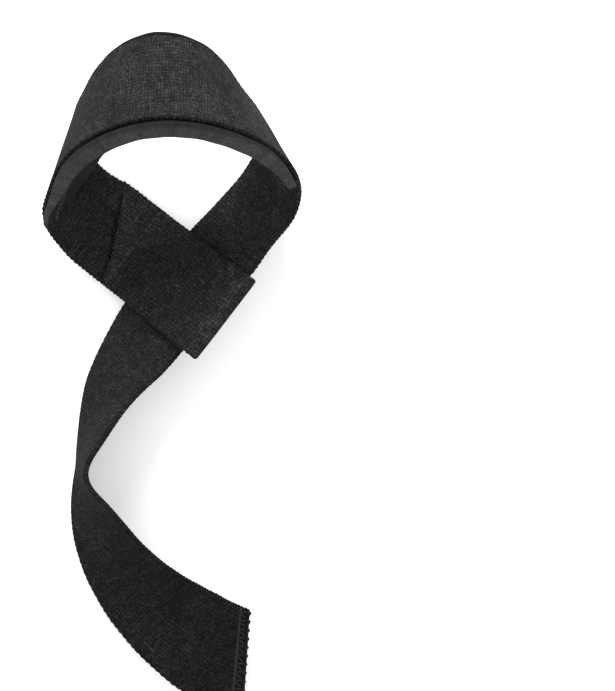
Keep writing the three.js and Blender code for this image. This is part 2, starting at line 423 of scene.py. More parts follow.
def signed_volume(points: Array, quads: Array) -> float:
    """Volume inside a shell of four-sided faces, negative where they face inwards."""
    a, b, c, d = (points[quads[:, j]] for j in range(4))
    halves = np.einsum("ij,ij->i", a, np.cross(b, c)) + np.einsum("ij,ij->i", a, np.cross(c, d))
    return float(halves.sum() / 6)


def waves(values: Array, table: Rows) -> Array:
    """Sum of sine waves, each with its height, radians per millimetre and phase."""
    return sum(height * np.sin(values * pace + phase) for height, pace, phase in table)


def smooth_step(values: Array, low: float, high: float) -> Array:
    """Rise from 0 at low to 1 at high with level ends."""
    t = np.clip((values - low) / (high - low), 0, 1)
    return t * t * (3 - 2 * t)


class NodeSketch:
    """Short calls that add and link the nodes of one material or node group."""

    def __init__(self, tree: bpy.types.NodeTree) -> None:
        """Start from an empty tree."""
        self.tree = tree
        tree.nodes.clear()

    def feed(self, socket: Socket, value: object) -> None:
        """Link a socket to an input, or set the input to a plain value."""
        if isinstance(value, Socket):
            self.tree.links.new(value, socket)
        else:
            socket.default_value = value

    def add(
        self, kind: str, inputs: dict[str | int, object] | None = None, **settings: object
    ) -> bpy.types.Node:
        """Add a node.

        Args:
            kind: the node's type name without its ShaderNode prefix, or a full type name.
            inputs: sockets and plain values for its inputs, by name or number.
            settings: properties of the node.

        Returns:
            The node.
        """
        node = self.tree.nodes.new(kind if kind.startswith("Node") else "ShaderNode" + kind)
        for key, value in settings.items():
            setattr(node, key, value)
        for key, value in (inputs or {}).items():
            self.feed(node.inputs[key], value)
        return node

    def math(self, operation: str, *values: object) -> Socket:
        """Add a Math node with sockets or numbers for its inputs, and return its output."""
        return self.add("Math", dict(enumerate(values)), operation=operation).outputs[0]

    def product(self, first: object, *others: object) -> Socket:
        """Multiply sockets and numbers, from the left."""
        for other in others:
            first = self.math("MULTIPLY", first, other)
        return first

    def ease(self, value: object, low: float, high: float) -> Socket:
        """Smooth rise from 0 at low to 1 at high."""
        inputs = {"Value": value, "From Min": low, "From Max": high}
        return self.add("MapRange", inputs, interpolation_type="SMOOTHSTEP").outputs["Result"]

    def noise(self, vector: object, scale: float, detail: float) -> Socket:
        """Noise from 0 to 1 at a number of grains per metre."""
        inputs = {"Vector": vector, "Scale": scale, "Detail": detail}
        return self.add("TexNoise", inputs).outputs["Fac"]

    def blend(self, share: object, first: object, second: object) -> Socket:
        """Mix two colours."""
        return self.add("Mix", {0: share, 6: first, 7: second}, data_type="RGBA").outputs[2]

    def scaled(self, colour: object, factor: object) -> Socket:
        """Brighten or darken a colour by a factor."""
        inputs = {0: colour[:3] if isinstance(colour, tuple) else colour, "Scale": factor}
        return self.add("VectorMath", inputs, operation="SCALE").outputs[0]

    def mask(self, name: str) -> Socket:
        """Read one of the mesh's own attributes."""
        return self.add("Attribute", attribute_name=name).outputs["Fac"]

    def shared(self, group: bpy.types.NodeTree, **numbers: float) -> bpy.types.bpy_prop_collection:
        """Add a shared node group that follows the strip's own map, and return its outputs."""
        inputs = {"Vector": self.add("UVMap", uv_map="run").outputs[0], **numbers}
        return self.add("Group", inputs, node_tree=group).outputs


def grey(level: float, warmth: float = 0.0) -> tuple[float, float, float, float]:
    """A grey colour, a little warm where warmth is above 0."""
    return (level * (1 + warmth), level, level * (1 - warmth), 1.0)


def new_group(name: str, numbers: Sequence[str], outputs: Sequence[str]) -> bpy.types.NodeTree:
    """A shader node group that reads a map named Vector.

    Args:
        name: name of the group.
        numbers: name of each number that it takes.
        outputs: name of each number that it gives.

    Returns:
        The group.
    """
    group = bpy.data.node_groups.new(name, "ShaderNodeTree")
    sockets = group.interface
    sockets.new_socket("Vector", in_out="INPUT", socket_type="NodeSocketVector")
    for way, labels in (("INPUT", numbers), ("OUTPUT", outputs)):
        for label in labels:
            sockets.new_socket(label, in_out=way, socket_type="NodeSocketFloat")
    return group


@dataclass(frozen=True)
class PlainWeave:
    """Relief of a plain weave: yarns along and across the strap that pass over each other."""

    # Wandering of the yarns along and across the strap, in grains per metre
    drifts: Pair = (150.0, 110.0)
    drift_detail: float = 4.0
    crossing: float = 0.25
    rib_round: float = 0.8
    pick_round: float = 0.7
    pick_height: float = 0.85
    evenness: float = 0.7

    def make(self) -> bpy.types.NodeTree:
        """Build the group.

        Returns:
            A group that turns a map in metres into Height, Grain, a value of its own at each
            crossing, and Row, a value of its own on each yarn across the strap.
        """
        group = new_group("Plain Weave", ("Rib", "Pick", "Waver"), ("Height", "Grain", "Row"))
        sketch = NodeSketch(group)
        given = sketch.add("NodeGroupInput").outputs
        parts = sketch.add("SeparateXYZ", {0: given["Vector"]}).outputs
        sines, cells = [], []
        for axis, pitch, scale in zip(parts, (given["Rib"], given["Pick"]), self.drifts):
            drift = sketch.noise(given["Vector"], scale, self.drift_detail)
            shift = sketch.product(sketch.math("SUBTRACT", drift, 0.5), given["Waver"])
            turns = sketch.math("DIVIDE", sketch.math("ADD", axis, shift), pitch)
            sines.append(sketch.math("SINE", sketch.product(turns, math.pi)))
            cells.append(sketch.math("FLOOR", turns))
        over = sketch.ease(sketch.product(*sines), -self.crossing, self.crossing)
        across, along = (sketch.math("ABSOLUTE", sine) for sine in sines)
        along = sketch.math("POWER", along, self.pick_round)
        rib = sketch.product(sketch.math("POWER", across, self.rib_round), along)
        pick = sketch.product(along, sketch.math("POWER", across, self.pick_round))
        pick = sketch.product(pick, sketch.math("SUBTRACT", 1.0, over), self.pick_height)
        height = sketch.math("MULTIPLY_ADD", rib, over, pick)
        cell = sketch.add("CombineXYZ", dict(enumerate(cells))).outputs[0]
        grain = sketch.add("TexWhiteNoise", {"Vector": cell}, noise_dimensions="3D")
        row = sketch.add("TexWhiteNoise", {"W": cells[1]}, noise_dimensions="1D")
        own = grain.outputs["Value"]
        uneven = sketch.math("MULTIPLY_ADD", own, 1 - self.evenness, self.evenness)
        found = {"Height": sketch.product(height, uneven), "Grain": own, "Row": row.outputs["Value"]}
        sketch.add("NodeGroupOutput", found)
        return group


@dataclass(frozen=True)
class SpunFibre:
    """Fine fibres, wear and lint of a spun yarn."""

    # Name, grains per metre, detail, and stretch across and along the strap
    grains: Sequence[tuple[str, float, float, float, float]] = (
        ("Fibre", 2600.0, 4.0, 0.55, 1.0),
        ("Mottle", 260.0, 4.0, 1.0, 1.0),
        ("Rub", 55.0, 3.0, 1.0, 1.0),
        ("Fleck", 1150.0, 1.0, 0.6, 1.3),
        ("Slub", 640.0, 2.0, 0.22, 1.0),
    )
    rubbed: Pair = (0.35, 0.7)
    linty: Pair = (0.70, 0.78)

    def make(self) -> bpy.types.NodeTree:
        """Build the group.

        Returns:
            A group that turns a map in metres into the grains by name, and Lint, from 0 to 1.
        """
        group = new_group("Spun Fibre", (), (*(row[0] for row in self.grains), "Lint"))
        sketch = NodeSketch(group)
        vector = sketch.add("NodeGroupInput").outputs["Vector"]
        found = {}
        for label, scale, detail, across, along in self.grains:
            stretch = sketch.add("Mapping", {"Vector": vector, "Scale": (across, along, 1.0)})
            found[label] = sketch.noise(stretch.outputs[0], scale, detail)
        found["Lint"] = sketch.ease(found["Fleck"], *self.linty)
        found["Rub"] = sketch.ease(found["Rub"], *self.rubbed)
        sketch.add("NodeGroupOutput", found)
        return group


@dataclass(frozen=True)
class Finish:
    """A matt surface with a relief, which every finish of the strap is."""

    name: str
    roughness: float = 0.95
    specular: float = 0.05
    relief: float = 0.1 * MM
    relief_share: float = 0.8
    warmth: float = 0.02

    def start(self) -> tuple[bpy.types.Material, NodeSketch]:
        """A new material, and the sketch of its nodes."""
        material = bpy.data.materials.new(self.name)
        material.use_nodes = True
        return material, NodeSketch(material.node_tree)

    def surface(self, sketch: NodeSketch, inputs: dict[str, object], height: object = None) -> None:
        """Add the shader.

        Args:
            sketch: the sketch of the material's nodes.
            inputs: colours of the shader, by input.
            height: its relief, from 0 to 1, if it has any.
        """
        inputs = {**inputs, "Roughness": self.roughness, "Specular IOR Level": self.specular}
        if height is not None:
            bump = {"Distance": self.relief, "Strength": self.relief_share, "Height": height}
            inputs["Normal"] = sketch.add("Bump", bump).outputs["Normal"]
        shader = sketch.add("BsdfPrincipled", inputs)
        sketch.add("OutputMaterial", {"Surface": shader.outputs[0]})


@dataclass(frozen=True)
class WebbingFinish(Finish):
    """Black cotton webbing: matt, with uneven yarns, painted shade between them, crowns lighter from
    painted light and wear, and a close selvage.
    """

    name: str = "webbing_cotton"
    relief: float = 0.34 * MM
    rib_pitch: float = 1.4 * MM
    pick_pitch: float = 1.05 * MM
    waver: float = 3.4 * MM
    # Tones of the hollows, the yarns and their crowns, and the heights where two of them are full:
    # painted shade in the hollows, painted light and some wear on the crowns
    hollow_shade: float = 0.011
    yarn: float = 0.021
    crown: float = 0.031
    yarn_height: float = 0.5
    crown_height: float = 0.95
    # How much each value of the two groups varies the tone
    weave_shades: Shares = (("Grain", 0.4), ("Row", 0.12))
    fibre_shades: Shares = (
        ("Mottle", 1.2),
        ("Fibre", 1.5),
        ("Rub", 0.3),
        ("Fleck", 2.0),
        ("Slub", 0.8),
    )
    lint: float = 0.10
    lint_share: float = 0.45
    # Dark tone and share of the darkening: painted shade at the selvages and under the end loop's
    # edges, and the darker bound end
    shadow: float = 0.004
    shadow_share: float = 0.85
    reliefs: Shares = (("Fibre", 0.5), ("Slub", 0.4))

    def make(self, weave: bpy.types.NodeTree, fibre: bpy.types.NodeTree) -> bpy.types.Material:
        """Build the material from the shared groups."""
        material, sketch = self.start()
        woven = sketch.shared(weave, Rib=self.rib_pitch, Pick=self.pick_pitch, Waver=self.waver)
        spun, height = sketch.shared(fibre), woven["Height"]
        yarn, crown = grey(self.yarn, self.warmth), grey(self.crown, self.warmth)
        # The tone follows the weave's height: painted shade in the hollows, painted light with some
        # wear on the crowns
        tone = sketch.blend(sketch.ease(height, 0.0, self.yarn_height), grey(self.hollow_shade), yarn)
        tone = sketch.blend(sketch.ease(height, self.yarn_height, self.crown_height), tone, crown)
        tint: object = 1.0
        for values, shades in ((woven, self.weave_shades), (spun, self.fibre_shades)):
            for label, share in shades:
                vary = sketch.math("MULTIPLY_ADD", values[label], share, 1 - share / 2)
                tint = sketch.product(tint, vary)
        lint = sketch.product(spun["Lint"], self.lint_share)
        tone = sketch.blend(lint, sketch.scaled(tone, tint), grey(self.lint, self.warmth))
        # Painted light and shade: the painted light factor scales the tone, then the shade mask
        # darkens it where shade is painted and at the bound end
        shade = sketch.product(sketch.mask("shade"), self.shadow_share)
        tone = sketch.blend(shade, sketch.scaled(tone, sketch.mask("painted_light")), grey(self.shadow))
        for label, share in self.reliefs:
            height = sketch.math("MULTIPLY_ADD", spun[label], share, height)
        self.surface(sketch, {"Base Color": tone}, height)
        return material


@dataclass(frozen=True)
class LiningFinish(Finish):
    """Foam lining: dark knitted facing, and paler foam where the cut edge shows."""

    name: str = "lining_foam"
    specular: float = 0.08
    relief: float = 0.12 * MM
    knit_pitch: float = 0.8 * MM
    knit_row: float = 0.7
    knit_waver: float = 0.2 * MM
    outer: float = 0.017
    inner: float = 0.030
    foam: float = 0.042
    # Foam cells per metre
    pores: float = 1500.0
    # Share of each value in the tone, and the tone's share without it
    knit_shade: Pair = (0.9, 0.45)
    pore_shade: Pair = (1.2, 0.45)
    mottle_shade: Pair = (1.2, 0.4)
    fibre_relief: float = 0.4

    def make(self, weave: bpy.types.NodeTree, fibre: bpy.types.NodeTree) -> bpy.types.Material:
        """Build the material from the shared groups."""
        material, sketch = self.start()
        row = self.knit_pitch * self.knit_row
        knit = sketch.shared(weave, Rib=self.knit_pitch, Pick=row, Waver=self.knit_waver)["Height"]
        spun = sketch.shared(fibre)
        cloth = sketch.blend(sketch.mask("inner"), grey(self.outer), grey(self.inner))
        cloth = sketch.scaled(cloth, sketch.math("MULTIPLY_ADD", knit, *self.knit_shade))
        place = sketch.add("TexCoord").outputs["Object"]
        cells = sketch.add("TexVoronoi", {"Vector": place, "Scale": self.pores})
        pores = sketch.math("MULTIPLY_ADD", cells.outputs["Distance"], *self.pore_shade)
        rim, core = sketch.mask("rim"), sketch.scaled(grey(self.foam, self.warmth), pores)
        mottle = sketch.math("MULTIPLY_ADD", spun["Mottle"], *self.mottle_shade)
        tone = sketch.scaled(sketch.blend(rim, cloth, core), mottle)
        height = sketch.product(knit, sketch.math("SUBTRACT", 1.0, rim))
        height = sketch.math("MULTIPLY_ADD", spun["Fibre"], self.fibre_relief, height)
        self.surface(sketch, {"Base Color": tone}, height)
        return material


@dataclass(frozen=True)
class ThreadFinish(Finish):
    """Sewing thread: a little smoother than the webbing, with its twist."""

    roughness: float = 0.85
    specular: float = 0.12
    relief: float = 0.08 * MM
    relief_share: float = 0.7
    tone: float = 0.021
    grains: float = 3800.0
    detail: float = 2.0
    twist_shade: Pair = (0.9, 0.5)

    def make(self) -> bpy.types.Material:
        """Build the material."""
        material, sketch = self.start()
        twist = sketch.noise(sketch.add("TexCoord").outputs["Object"], self.grains, self.detail)
        tint = sketch.math("MULTIPLY_ADD", twist, *self.twist_shade)
        tone = sketch.scaled(grey(self.tone, self.warmth), tint)
        self.surface(sketch, {"Base Color": tone}, twist)
        return material


@dataclass(frozen=True)
class Seat:
    """Where one stitch sits: its middle, the way it runs, and the way up from the cloth."""

    middle: Array
    along: Array
    up: Array

    def matrix(self) -> Matrix:
        """Place in metres of a bead that is long in z and has its top in x."""
        up = unit(self.up - self.along * float(self.up @ self.along))
        columns = np.stack([up, np.cross(self.along, up), self.along, self.middle * MM], axis=1)
        return Matrix([*columns.tolist(), [0.0, 0.0, 0.0, 1.0]])


@dataclass
class StitchRow:
    """A row of stitches, each one a bead of thread that dips into the cloth at both ends."""

    name: str
    seats: Sequence[Seat]
    slot: str = "webbing"
    length: float = 2.4
    radius: float = 0.34
    dip: float = 0.3
    segments: int = 8
    rings: int = 6

    def _bead(self) -> Piece:
        """Model one stitch from a sphere."""
        bpy.ops.object.select_all(action="DESELECT")
        half = self.length / 2 * MM
        bpy.ops.mesh.primitive_uv_sphere_add(
            segments=self.segments,
            ring_count=self.rings,
            radius=1.0,
            scale=(self.radius * MM, self.radius * MM, half),
        )
        bpy.ops.object.transform_apply(location=False, rotation=False, scale=True)
        bead = bpy.context.object
        for vertex in bead.data.vertices:
            vertex.co.x -= self.dip * MM * (vertex.co.z / half) ** 2
        bead.data.shade_smooth()
        return bead

    def build(self, finish: bpy.types.Material) -> Piece:
        """Copy the stitch to every seat and join the copies.

        Args:
            finish: the thread's material.

        Returns:
            The row as one piece.
        """
        bead = self._bead()
        copies = []
        for seat in self.seats:
            mesh = bead.data.copy()
            mesh.transform(seat.matrix())
            copies.append(bpy.data.objects.new(self.name, mesh))
            bpy.context.collection.objects.link(copies[-1])
        bpy.data.objects.remove(bead)
        bpy.ops.object.select_all(action="DESELECT")
        for copy in copies:
            copy.select_set(True)
        bpy.context.view_layer.objects.active = copies[0]
        bpy.ops.object.join()
        piece = bpy.context.object
        piece.name = self.name
        piece.data.materials.append(finish)
        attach(piece, "root")
        return piece


@dataclass
class Webbing:
    """The one length of webbing, from its sewn-down end to the end of the tail."""

    route: StrapRoute
    name: str = "webbing"
    spacing: float = 0.48
    points_across: int = 25
    edge_round: float = 0.95
    edge_turns: Sequence[float] = (60, 30, 0, -30, -60)
    # The selvage: how far in it reaches, and the waves of its bulges, one of them at each pick
    selvage: float = 1.6
    bulges: Rows = ((0.17, math.pi, 0.0), (0.07, math.pi / 7.3, 1.0), (0.05, 1.7, 0.0))
    # Height of each ripple of the cloth, and its millimetres per radian along and across
    ripples: Rows = ((0.05, 5.3, 6.0), (0.04, 2.9, -4.1))
    # Waves of the raw end, and the curl of its lip
    rags: Rows = ((0.35, 0.9, 0.6), (0.3, 2.3, 0.0))
    lip: float = 0.42
    lip_length: float = 2.2
    lip_share: float = 0.3
    tail_slant: float = -12.0
    # Spreading of the yarns at the tail's end, and how far before it that starts and is full
    flare: float = 0.08
    flare_span: Pair = (42.0, 10.0)
    # The lining's stitches draw the near selvage in: where along and how far across
    drawn_in: float = 0.9
    drawn_from: Pair = (34.0, 44.0)
    drawn_to: Pair = (185.0, 195.0)
    drawn_across: Pair = (12.0, 19.0)
    # Darkening: painted shade along the selvage, a darker bound end of the tail, and a painted
    # shadow on the strand where the end loop's edges lie over it
    selvage_shade: float = 0.3
    edge_span: Pair = (0.9, 0.35)
    bound_mark: float = 0.8
    bound_span: Pair = (2.4, 3.4)
    loop_shadow_mark: float = 0.45
    loop_shadow_width: float = 1.3
    # Distance beyond the stitch line on the end loop's top, and the painted light there: a factor on
    # the tone that lightens or darkens parts by how the light falls on them
    painted_light_by_length: Rows = (
        (-22, 1.75), (-4, 1.6), (10, 1.0), (50, 1.0), (53, 1.45), (55.5, 1.45),
        (57, 1.0), (95, 1.0), (110, 1.4), (150, 1.25), (190, 0.92), (225, 1.0),
        (250, 1.12), (285, 1.15), (330, 1.3), (400, 0.95), (450, 0.85), (510, 0.7),
        (560, 0.5),
    )

    def outline(self) -> tuple[Array, Array]:
        """The section's points: across and deep, in millimetres."""
        half, thick = self.route.width / 2, self.route.thick / 2
        flat = np.linspace(half - self.edge_round, self.edge_round - half, self.points_across)
        turn = np.radians(self.edge_turns)
        bulge = half - self.edge_round + self.edge_round * np.cos(turn)
        across = np.concatenate([flat, -bulge, flat[::-1], bulge])
        side, face = thick * np.sin(turn), np.full(flat.shape, thick)
        return across, np.concatenate([face, side, -face, -side])

    def _worn(
        self, across: Array, deep: Array, along: Array
    ) -> tuple[Array, Array]:
        """Add the selvage's bulges at each pick, and slight waves of the cloth."""
        half = self.route.width / 2
        edge = smooth_step(np.abs(across), half - self.selvage, half)[None]
        wider = np.sign(across)[None] * edge * waves(along, self.bulges)
        ripple = sum(
            height * np.sin(along / length + across / breadth)
            for height, length, breadth in self.ripples
        )
        return across[None] + wider, deep[None] + ripple * (1 - edge)

    def flap_length(self, across: Array) -> Array:
        """Length of the sewn-down end behind the stitch line, slanted and a little frayed."""
        route = self.route
        side = 0.5 - across / route.width
        straight = route.cut_end_near + (route.cut_end_far - route.cut_end_near) * side
        return straight + waves(across, self.rags)

    def _spread(self, place: Array) -> Array:
        """How much wider the webbing is than usual, as its yarns open towards the tail's end."""
        start, full = (self.route.length - back for back in self.flare_span)
        return 1 + self.flare * smooth_step(place, start, full)

    def _drawn(self, place: Array, across: Array) -> Array:
        """How far the lining's stitches draw the webbing in, per place and point."""
        rise = smooth_step(place, *self.drawn_from) - smooth_step(place, *self.drawn_to)
        return self.drawn_in * rise[:, None] * smooth_step(across, *self.drawn_across)

    def tail_seat(self, back: float, across: float, deep: float, along: bool) -> Seat:
        """A place on the tail's end.

        Args:
            back: distance from the cut end.
            across: offset towards the inner selvage.
            deep: offset towards the inner face, above 0 on that face.
            along: whether the thread runs along the strap, and not across it.

        Returns:
            The place, with up away from the cloth.
        """
        route = self.route
        slant = math.tan(math.radians(self.tail_slant))
        place = route.length - back / (1 + across * slant / route.width)
        near_end = min(1.0, 1 - (route.length - place) / route.width)
        frames = route.run(np.array([place]))
        wide = across * float(self._spread(np.array([place]))[0])
        middle = frames.points(np.array([wide]), np.array([deep]))[0, 0]
        middle = middle + frames.along[0] * across * slant * near_end
        up = frames.inward[0] * (1 if deep >= 0 else -1)
        cut = unit(frames.width[0] + frames.along[0] * slant)
        return Seat(middle, frames.along[0] if along else cut, up)

    def _sewn_end(
        self, across: Array, deep: Array
    ) -> tuple[list[Array], list[Array]]:
        """Rings of the sewn-down end from its raw edge to the stitch line, and their lengths."""
        route = self.route
        rings, lengths = [], []
        flap = self.flap_length(across)
        steps = math.ceil(route.cut_end_far / self.spacing)
        for share in np.linspace(1, 0, steps, endpoint=False):
            frames = route.run(share * flap)
            gone = -share * flap
            wide, thick = self._worn(across, deep, gone[None])
            curl = self.lip * (1 - smooth_step((1 - share) * flap, 0.0, self.lip_length))
            lying = route.thick - route.seam_bite - thick[0] + curl * (share > self.lip_share)
            ring = frames.centre + frames.width * wide[0][:, None]
            rings.append(ring + frames.inward * lying[:, None])
            lengths.append(gone)
        return rings, lengths

    def _run(
        self, across: Array, deep: Array, start: float, place: Array
    ) -> tuple[Array, Array]:
        """Rings of the wrist loop and the tail, and their lengths from the stitch line on top."""
        route = self.route
        frames = route.run(place)
        wide, thick = self._worn(across, deep, (start + place)[:, None])
        wide = wide * self._spread(place)[:, None] - self._drawn(place, across)
        points = frames.points(wide, thick)
        near_end = np.clip(1 - (route.length - place) / route.width, 0, 1)[:, None]
        shift = wide * math.tan(math.radians(self.tail_slant)) * near_end
        points = points + frames.along[:, None] * shift[..., None]
        return points, (start + place)[:, None] + shift

    def _masks(
        self, across: Array, lengths: Array, place: Array
    ) -> dict[str, Array]:
        """Painted light and shade on the cloth, per ring and point: the painted shade and darker
        bound end, and the painted light factor on its tone.
        """
        half = self.route.width / 2
        # Painted shade along both selvages
        edge = smooth_step(np.abs(across), *(half - inset for inset in self.edge_span))
        shade = np.zeros(lengths.shape) + self.selvage_shade * edge
        bound = 1 - smooth_step(self.route.length - place, *self.bound_span)
        # Painted shadow on the strand where the end loop's edges lie over it
        off = np.abs(place - self.route.strand_place) - half
        loop_shadow = self.loop_shadow_mark * np.exp(-((off / self.loop_shadow_width) ** 2))
        marks = np.maximum(self.bound_mark * bound, loop_shadow)
        shade[-len(place) :] = np.maximum(shade[-len(place) :], marks[:, None])
        # The painted light factor follows the length along the strap
        return {"shade": shade, "painted_light": np.interp(lengths, *zip(*self.painted_light_by_length))}

    def build(
        self, finish: bpy.types.Material, sewn_on: Sequence[Piece]
    ) -> Piece:
        """Make the webbing's mesh.

        Args:
            finish: its material.
            sewn_on: the pieces of thread on it; not used.

        Returns:
            The webbing.
        """
        route = self.route
        across, deep = self.outline()
        rings, lengths = self._sewn_end(across, deep)
        loop, gone = route.loop(self.spacing)
        wide, thick = self._worn(across, deep, gone[:, None])
        rings.extend(loop.points(wide, thick))
        lengths.extend(np.broadcast_to(gone[:, None], wide.shape))
        start = gone[-1]
        place = np.linspace(0, route.length, math.ceil(route.length / self.spacing))[1:]
        points, places = self._run(across, deep, start, place)
        rings.extend(points)
        lengths = np.array([*lengths, *places])
        masks = self._masks(across, lengths, place)
        piece = solid_strip(self.name, np.array(rings), across, lengths, masks)
        piece.data.materials.append(finish)
        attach(piece, "root")
        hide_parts("strap_webbing")
        LOG.info("end loop %.1f mm, run %.1f mm", start, route.length)
        return piece


@dataclass
class WristPad:
    """The foam lining on the inner face of the wrist loop."""

    route: StrapRoute
    name: str = "wrist_lining"
    width: float = 42.4
    thick: float = 4.6
    gap: float = 0.3
    start: float = 38.0
    length: float = 153.0
    spacing: float = 0.7
    points_inside: int = 27
    points_outside: int = 9
    edge_round: float = 1.1
    edge_turns: Sequence[float] = (75, 50, 25, 0)
    # The lip round the webbing: its feet, how far in its corners are, and how far below its top
    lip_rise: float = 1.5
    near_foot: float = 18.7
    far_foot: float = 19.6
    lip_insets: Sequence[float] = (0.0, 0.25, 0.8)
    near_bevel: float = 0.3
    far_bevel: float = 0.25
    lip_drops: Sequence[float] = (0.8, 0.2, 0.0, 0.05, 0.4)
    lip_foams: Sequence[float] = (1.0, 0.5, 0.0, 0.0, 0.0, 0.0)
    # Where the lip rises after the lining's start, and falls before its end
    lip_start: Pair = (-18.0, 18.0)
    lip_end: Pair = (-4.0, 24.0)
    # Waves of the sides, and how far in they reach
    side_band: float = 4.0
    side_waves: Rows = ((0.12, 1 / 4.7, 0.0), (0.08, 1 / 1.9, 0.7))
    belly: float = 1.2
    belly_insets: Pair = (2.4, 0.3)
    # The sewn groove, and the stitches in it
    groove_inset: float = 3.5
    groove_width: float = 1.3
    groove_depth: float = 0.6
    groove_pull: float = 0.2
    stitch_spacing: float = 3.1
    first_stitch: float = 2.5
    last_stitch: float = 1.5
    stitch_depth: float = 0.5
    stitch_rise: float = 0.2
    # Rounding of both ends, and how the near side thins towards them
    end_cap: float = 0.05
    end_round: float = 0.1
    end_length: float = 1.2
    thin_across: Pair = (-6.0, 15.0)
    start_thinning: float = 0.68
    start_span: Pair = (-6.0, 44.0)
    end_thinning: float = 0.2
    end_span: Pair = (0.0, 22.0)

    def outline(self) -> tuple[Array, Array, Array]:
        """The section's points: across, deep and 1 on the cut foam of the sides."""
        half, thick, edge = self.width / 2, self.thick / 2, self.edge_round
        inner = np.linspace(half - edge, edge - half, self.points_inside)
        outer = np.linspace(1 - self.far_foot, self.near_foot - 1, self.points_outside)
        turn = np.radians(self.edge_turns)
        side = half - edge + edge * np.cos(turn)
        drop = thick - edge + edge * np.sin(turn)
        corners = half - np.array(self.lip_insets)
        far = np.append(corners, self.far_foot + np.array([self.far_bevel, 0, 0]))
        near = np.append(corners, self.near_foot + np.array([self.near_bevel, 0, 0]))
        rise = np.append(thick + self.lip_rise - np.array(self.lip_drops), thick)
        inside, outside = np.full(inner.shape, thick), np.full(outer.shape, -thick)
        across = np.concatenate([inner, -side, -far, outer, near[::-1], side[::-1]])
        deep = np.concatenate([inside, drop, -rise, outside, -rise[::-1], drop[::-1]])
        foam, sewn = np.ones(side.shape), np.array(self.lip_foams)
        ends = [foam, sewn, np.zeros(outer.shape), sewn[::-1], foam]
        return across, deep, np.concatenate([np.zeros(inner.shape), *ends])

    def _shaped(
        self, across: Array, deep: Array, along: Array
    ) -> tuple[Array, Array]:
        """Give the section its waves, belly, sewn groove, thinner ends and lip at every place."""
        half = self.width / 2
        edge = smooth_step(np.abs(across), half - self.side_band, half)[None]
        swell = np.sin(math.pi * (along - self.start) / self.length) ** 2
        bellied = smooth_step(across, *(half - inset for inset in self.belly_insets))[None]
        wide = across[None] + np.sign(across)[None] * edge * waves(along, self.side_waves)
        wide = wide + self.belly * swell * bellied
        groove = half - self.groove_inset
        pinch = np.exp(-(((np.abs(across) - groove) / self.groove_width) ** 2))
        pull = np.cos(2 * math.pi * along / self.stitch_spacing)
        pull = 1 - self.groove_pull + self.groove_pull * pull
        lower = deep[None] - np.where(deep > 0, self.groove_depth * pinch, 0)[None] * pull
        from_start, from_end = along - along[0], along[-1] - along
        ease = smooth_step(np.minimum(from_start, from_end), 0.0, self.end_length)
        ease = 1 - self.end_round + self.end_round * ease
        thinning = self.start_thinning * (1 - smooth_step(from_start, *self.start_span))
        thinning = thinning + self.end_thinning * (1 - smooth_step(from_end, *self.end_span))
        ease = ease * (1 - smooth_step(across, *self.thin_across)[None] * thinning)
        raised = smooth_step(from_start, *self.lip_start) * smooth_step(from_end, *self.lip_end)
        lower = lower - np.minimum(lower + self.thick / 2, 0) * (1 - raised)
        return wide, (lower + self.thick / 2) * ease - self.thick / 2

    def build(self, finish: bpy.types.Material) -> Piece:
        """Make the lining's mesh.

        Args:
            finish: its material.

        Returns:
            The lining.
        """
        across, deep, cut = self.outline()
        end = self.start + self.length
        place = np.linspace(self.start, end, math.ceil(self.length / self.spacing))
        first, last = place[:1], place[-1:]
        caps = (first + self.end_cap, last - self.end_cap)
        place = np.concatenate([first, caps[0], place[1:-1], caps[1], last])
        along = place[:, None]
        wide, lower = self._shaped(across, deep, along)
        middle = self.route.thick / 2 + self.gap + self.thick / 2
        rings = self.route.run(place).points(wide, lower + middle)
        rim = np.broadcast_to(cut, rings.shape[:2]).copy()
        rim[[0, -1]] = 1.0
        masks = {"rim": rim, "inner": smooth_step(deep, 0.0, self.thick / 2)}
        piece = solid_strip(self.name, rings, across, along, masks)
        piece.data.materials.append(finish)
        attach(piece, "root")
        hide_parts("wrist_pad")
        return piece

    def stitches(self, face: Face, slot: str) -> StitchRow:
        """The stitches that hold the lining, seen on one face of the wrist loop."""
        groove = self.width / 2 - self.groove_inset
        end = self.start + self.length - self.last_stitch
        place = np.arange(self.start + self.first_stitch, end, self.stitch_spacing)
        frames = self.route.run(place)
        inner = self.route.thick / 2 + self.gap + self.thick - self.stitch_depth
        outer = self.stitch_rise - self.route.thick / 2
        deep = inner if face is Face.INNER else outer
        middles = frames.points(np.array([-groove, groove]), np.array([deep, deep]))
        seats = [
            Seat(middle, along, inward * face.value)
            for pair, along, inward in zip(middles, frames.along, frames.inward)
            for middle in pair
        ]
        return StitchRow(f"lining_stitches_{face.name.lower()}", seats, slot=slot)


